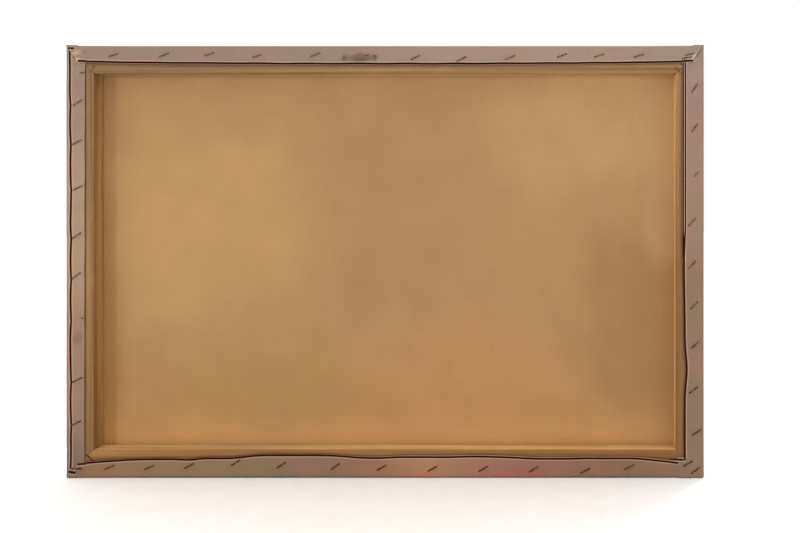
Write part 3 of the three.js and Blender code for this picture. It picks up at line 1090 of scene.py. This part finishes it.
def staple_steel():
    """Dull flat wire, brown where it has tarnished, and darker and browner towards the frame's foot."""
    shader = Shader("staple_steel")
    place = shader.coordinates("Object")
    tarnish = shader.noise(place, 420.0, 3.0, 0.6)
    higher = shader.ramp(shader.parts(place)["Z"], 0.04, 0.24, -0.12, 0.03)
    wire_lightness = shader.math("ADD", tarnish, higher)
    colour = shader.colours(wire_lightness, [(0.35, (72, 42, 16)), (0.5, (104, 78, 56)), (0.8, (140, 112, 90))])
    roughness = shader.ramp(tarnish, 0.35, 0.75, 0.65, 0.4)
    scratches = shader.noise(place, 2400.0, 2.0)
    normal = shader.bump(scratches, 0.00003, 0.6)
    return shader.finish(colour, roughness, 0.05, Metallic=0.2, Normal=normal)


# ------------ camera, floor and light

CAMERA_DISTANCE = 0.76  # in metres, from the plane of the margins
CAMERA_X, CAMERA_Z = -0.160, 0.250
OBJECT_SHARE = 0.798375  # the canvas's share of the picture's width
SHIFT = (-0.1940, -0.06885)
SENSOR = 36.0
FLOOR_Z = -0.7  # just under the canvas's lowest puckers
FLOOR_RADIUS = 9000
OVERHEAD = 0.7  # how much brighter the surroundings are straight up than level
FROM_SIDE = 0.35  # and on the +X side
BEHIND_CAMERA = 0.25  # how much dimmer they are behind the camera


def add_camera():
    data = bpy.data.cameras.new("camera")
    data.sensor_width = SENSOR
    width_seen = 2 * HALF_WIDTH * MM / OBJECT_SHARE
    data.lens = SENSOR * CAMERA_DISTANCE / width_seen
    data.shift_x, data.shift_y = SHIFT
    camera = link("camera", data)
    camera.location = (CAMERA_X, MARGIN_Y * MM + CAMERA_DISTANCE, CAMERA_Z)
    camera.rotation_euler = (math.pi / 2, 0.0, math.pi)
    bpy.context.scene.camera = camera


def add_sun(name, direction, power, spread):
    """A distant soft light that shines from the given direction."""
    data = bpy.data.lights.new(name, "SUN")
    data.energy = power
    data.angle = spread
    link(name, data).rotation_euler = Vector(direction).to_track_quat("Z", "Y").to_euler()


def add_floor():
    """A wide pale disc, finely matte."""
    rings, spokes = 10, 64
    radii = [FLOOR_RADIUS * (ring / rings) ** 2 for ring in range(1, rings + 1)]
    turns = [2 * math.pi * spoke / spokes for spoke in range(spokes)]
    faces, points = [], [(0.0, 0.0, FLOOR_Z)]
    points += [(r * math.cos(a), r * math.sin(a), FLOOR_Z) for r in radii for a in turns]
    for spoke in range(spokes):
        after = (spoke + 1) % spokes
        faces.append([0, 1 + spoke, 1 + after])
        for ring in range(rings - 1):
            low, high = 1 + ring * spokes, 1 + (ring + 1) * spokes
            faces.append([low + spoke, high + spoke, high + after, low + after])
    shader = Shader("pale_floor")
    speckle = shader.noise(shader.coordinates("Object"), 60.0, 3.0)
    colour = shader.colours(speckle, [(0.3, (242, 241, 239)), (0.7, (246, 245, 243))])
    mesh = new_mesh("floor", points, faces, [shader.finish(colour, 0.85)])
    link("floor", mesh)


def add_world():
    """White surroundings: brighter overhead and on the +X side, dimmer behind the camera."""
    world = bpy.data.worlds.new("studio")
    world.use_nodes = True
    nodes = Nodes(world.node_tree)
    parts = nodes.parts(nodes.coordinates("Generated"))
    strength = nodes.ramp(parts["Z"], 0.15, 1.0, 1.0, 1.0 + OVERHEAD)
    strength = nodes.math("ADD", strength, nodes.ramp(parts["X"], 0.2, 1.0, 0.0, FROM_SIDE))
    strength = nodes.math("ADD", strength, nodes.ramp(parts["Y"], 0.1, 1.0, 0.0, -BEHIND_CAMERA))
    white = nodes.node("ShaderNodeBackground", {"Color": (1.0, 1.0, 1.0, 1.0), "Strength": strength})
    nodes.node("ShaderNodeOutputWorld", {"Surface": white.outputs[0]})
    bpy.context.scene.world = world


def add_stage():
    scene = bpy.context.scene
    scene.view_settings.view_transform = "Standard"
    scene.view_settings.look = "None"
    add_world()
    add_floor()
    add_sun("back_key", (0.68, 1.0, 0.12), 0.55, math.radians(4))
    add_sun("front_key", (-0.6, -1.0, 0.8), 0.9, math.radians(20))


# ------------ assembly


def stand_for(node, piece):
    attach(piece, "root")
    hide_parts(node)


def add_object():
    sheet = make_canvas(painted_canvas(), raw_canvas(), cut_canvas())
    stand_for("canvas", sheet)
    wood = pine()
    for name in BARS:
        stand_for(name, make_bar(name, wood))
    steel = staple_steel()
    for name in STAPLES:
        stand_for(name, make_staple(name, steel))


add_camera()
add_stage()
add_object()
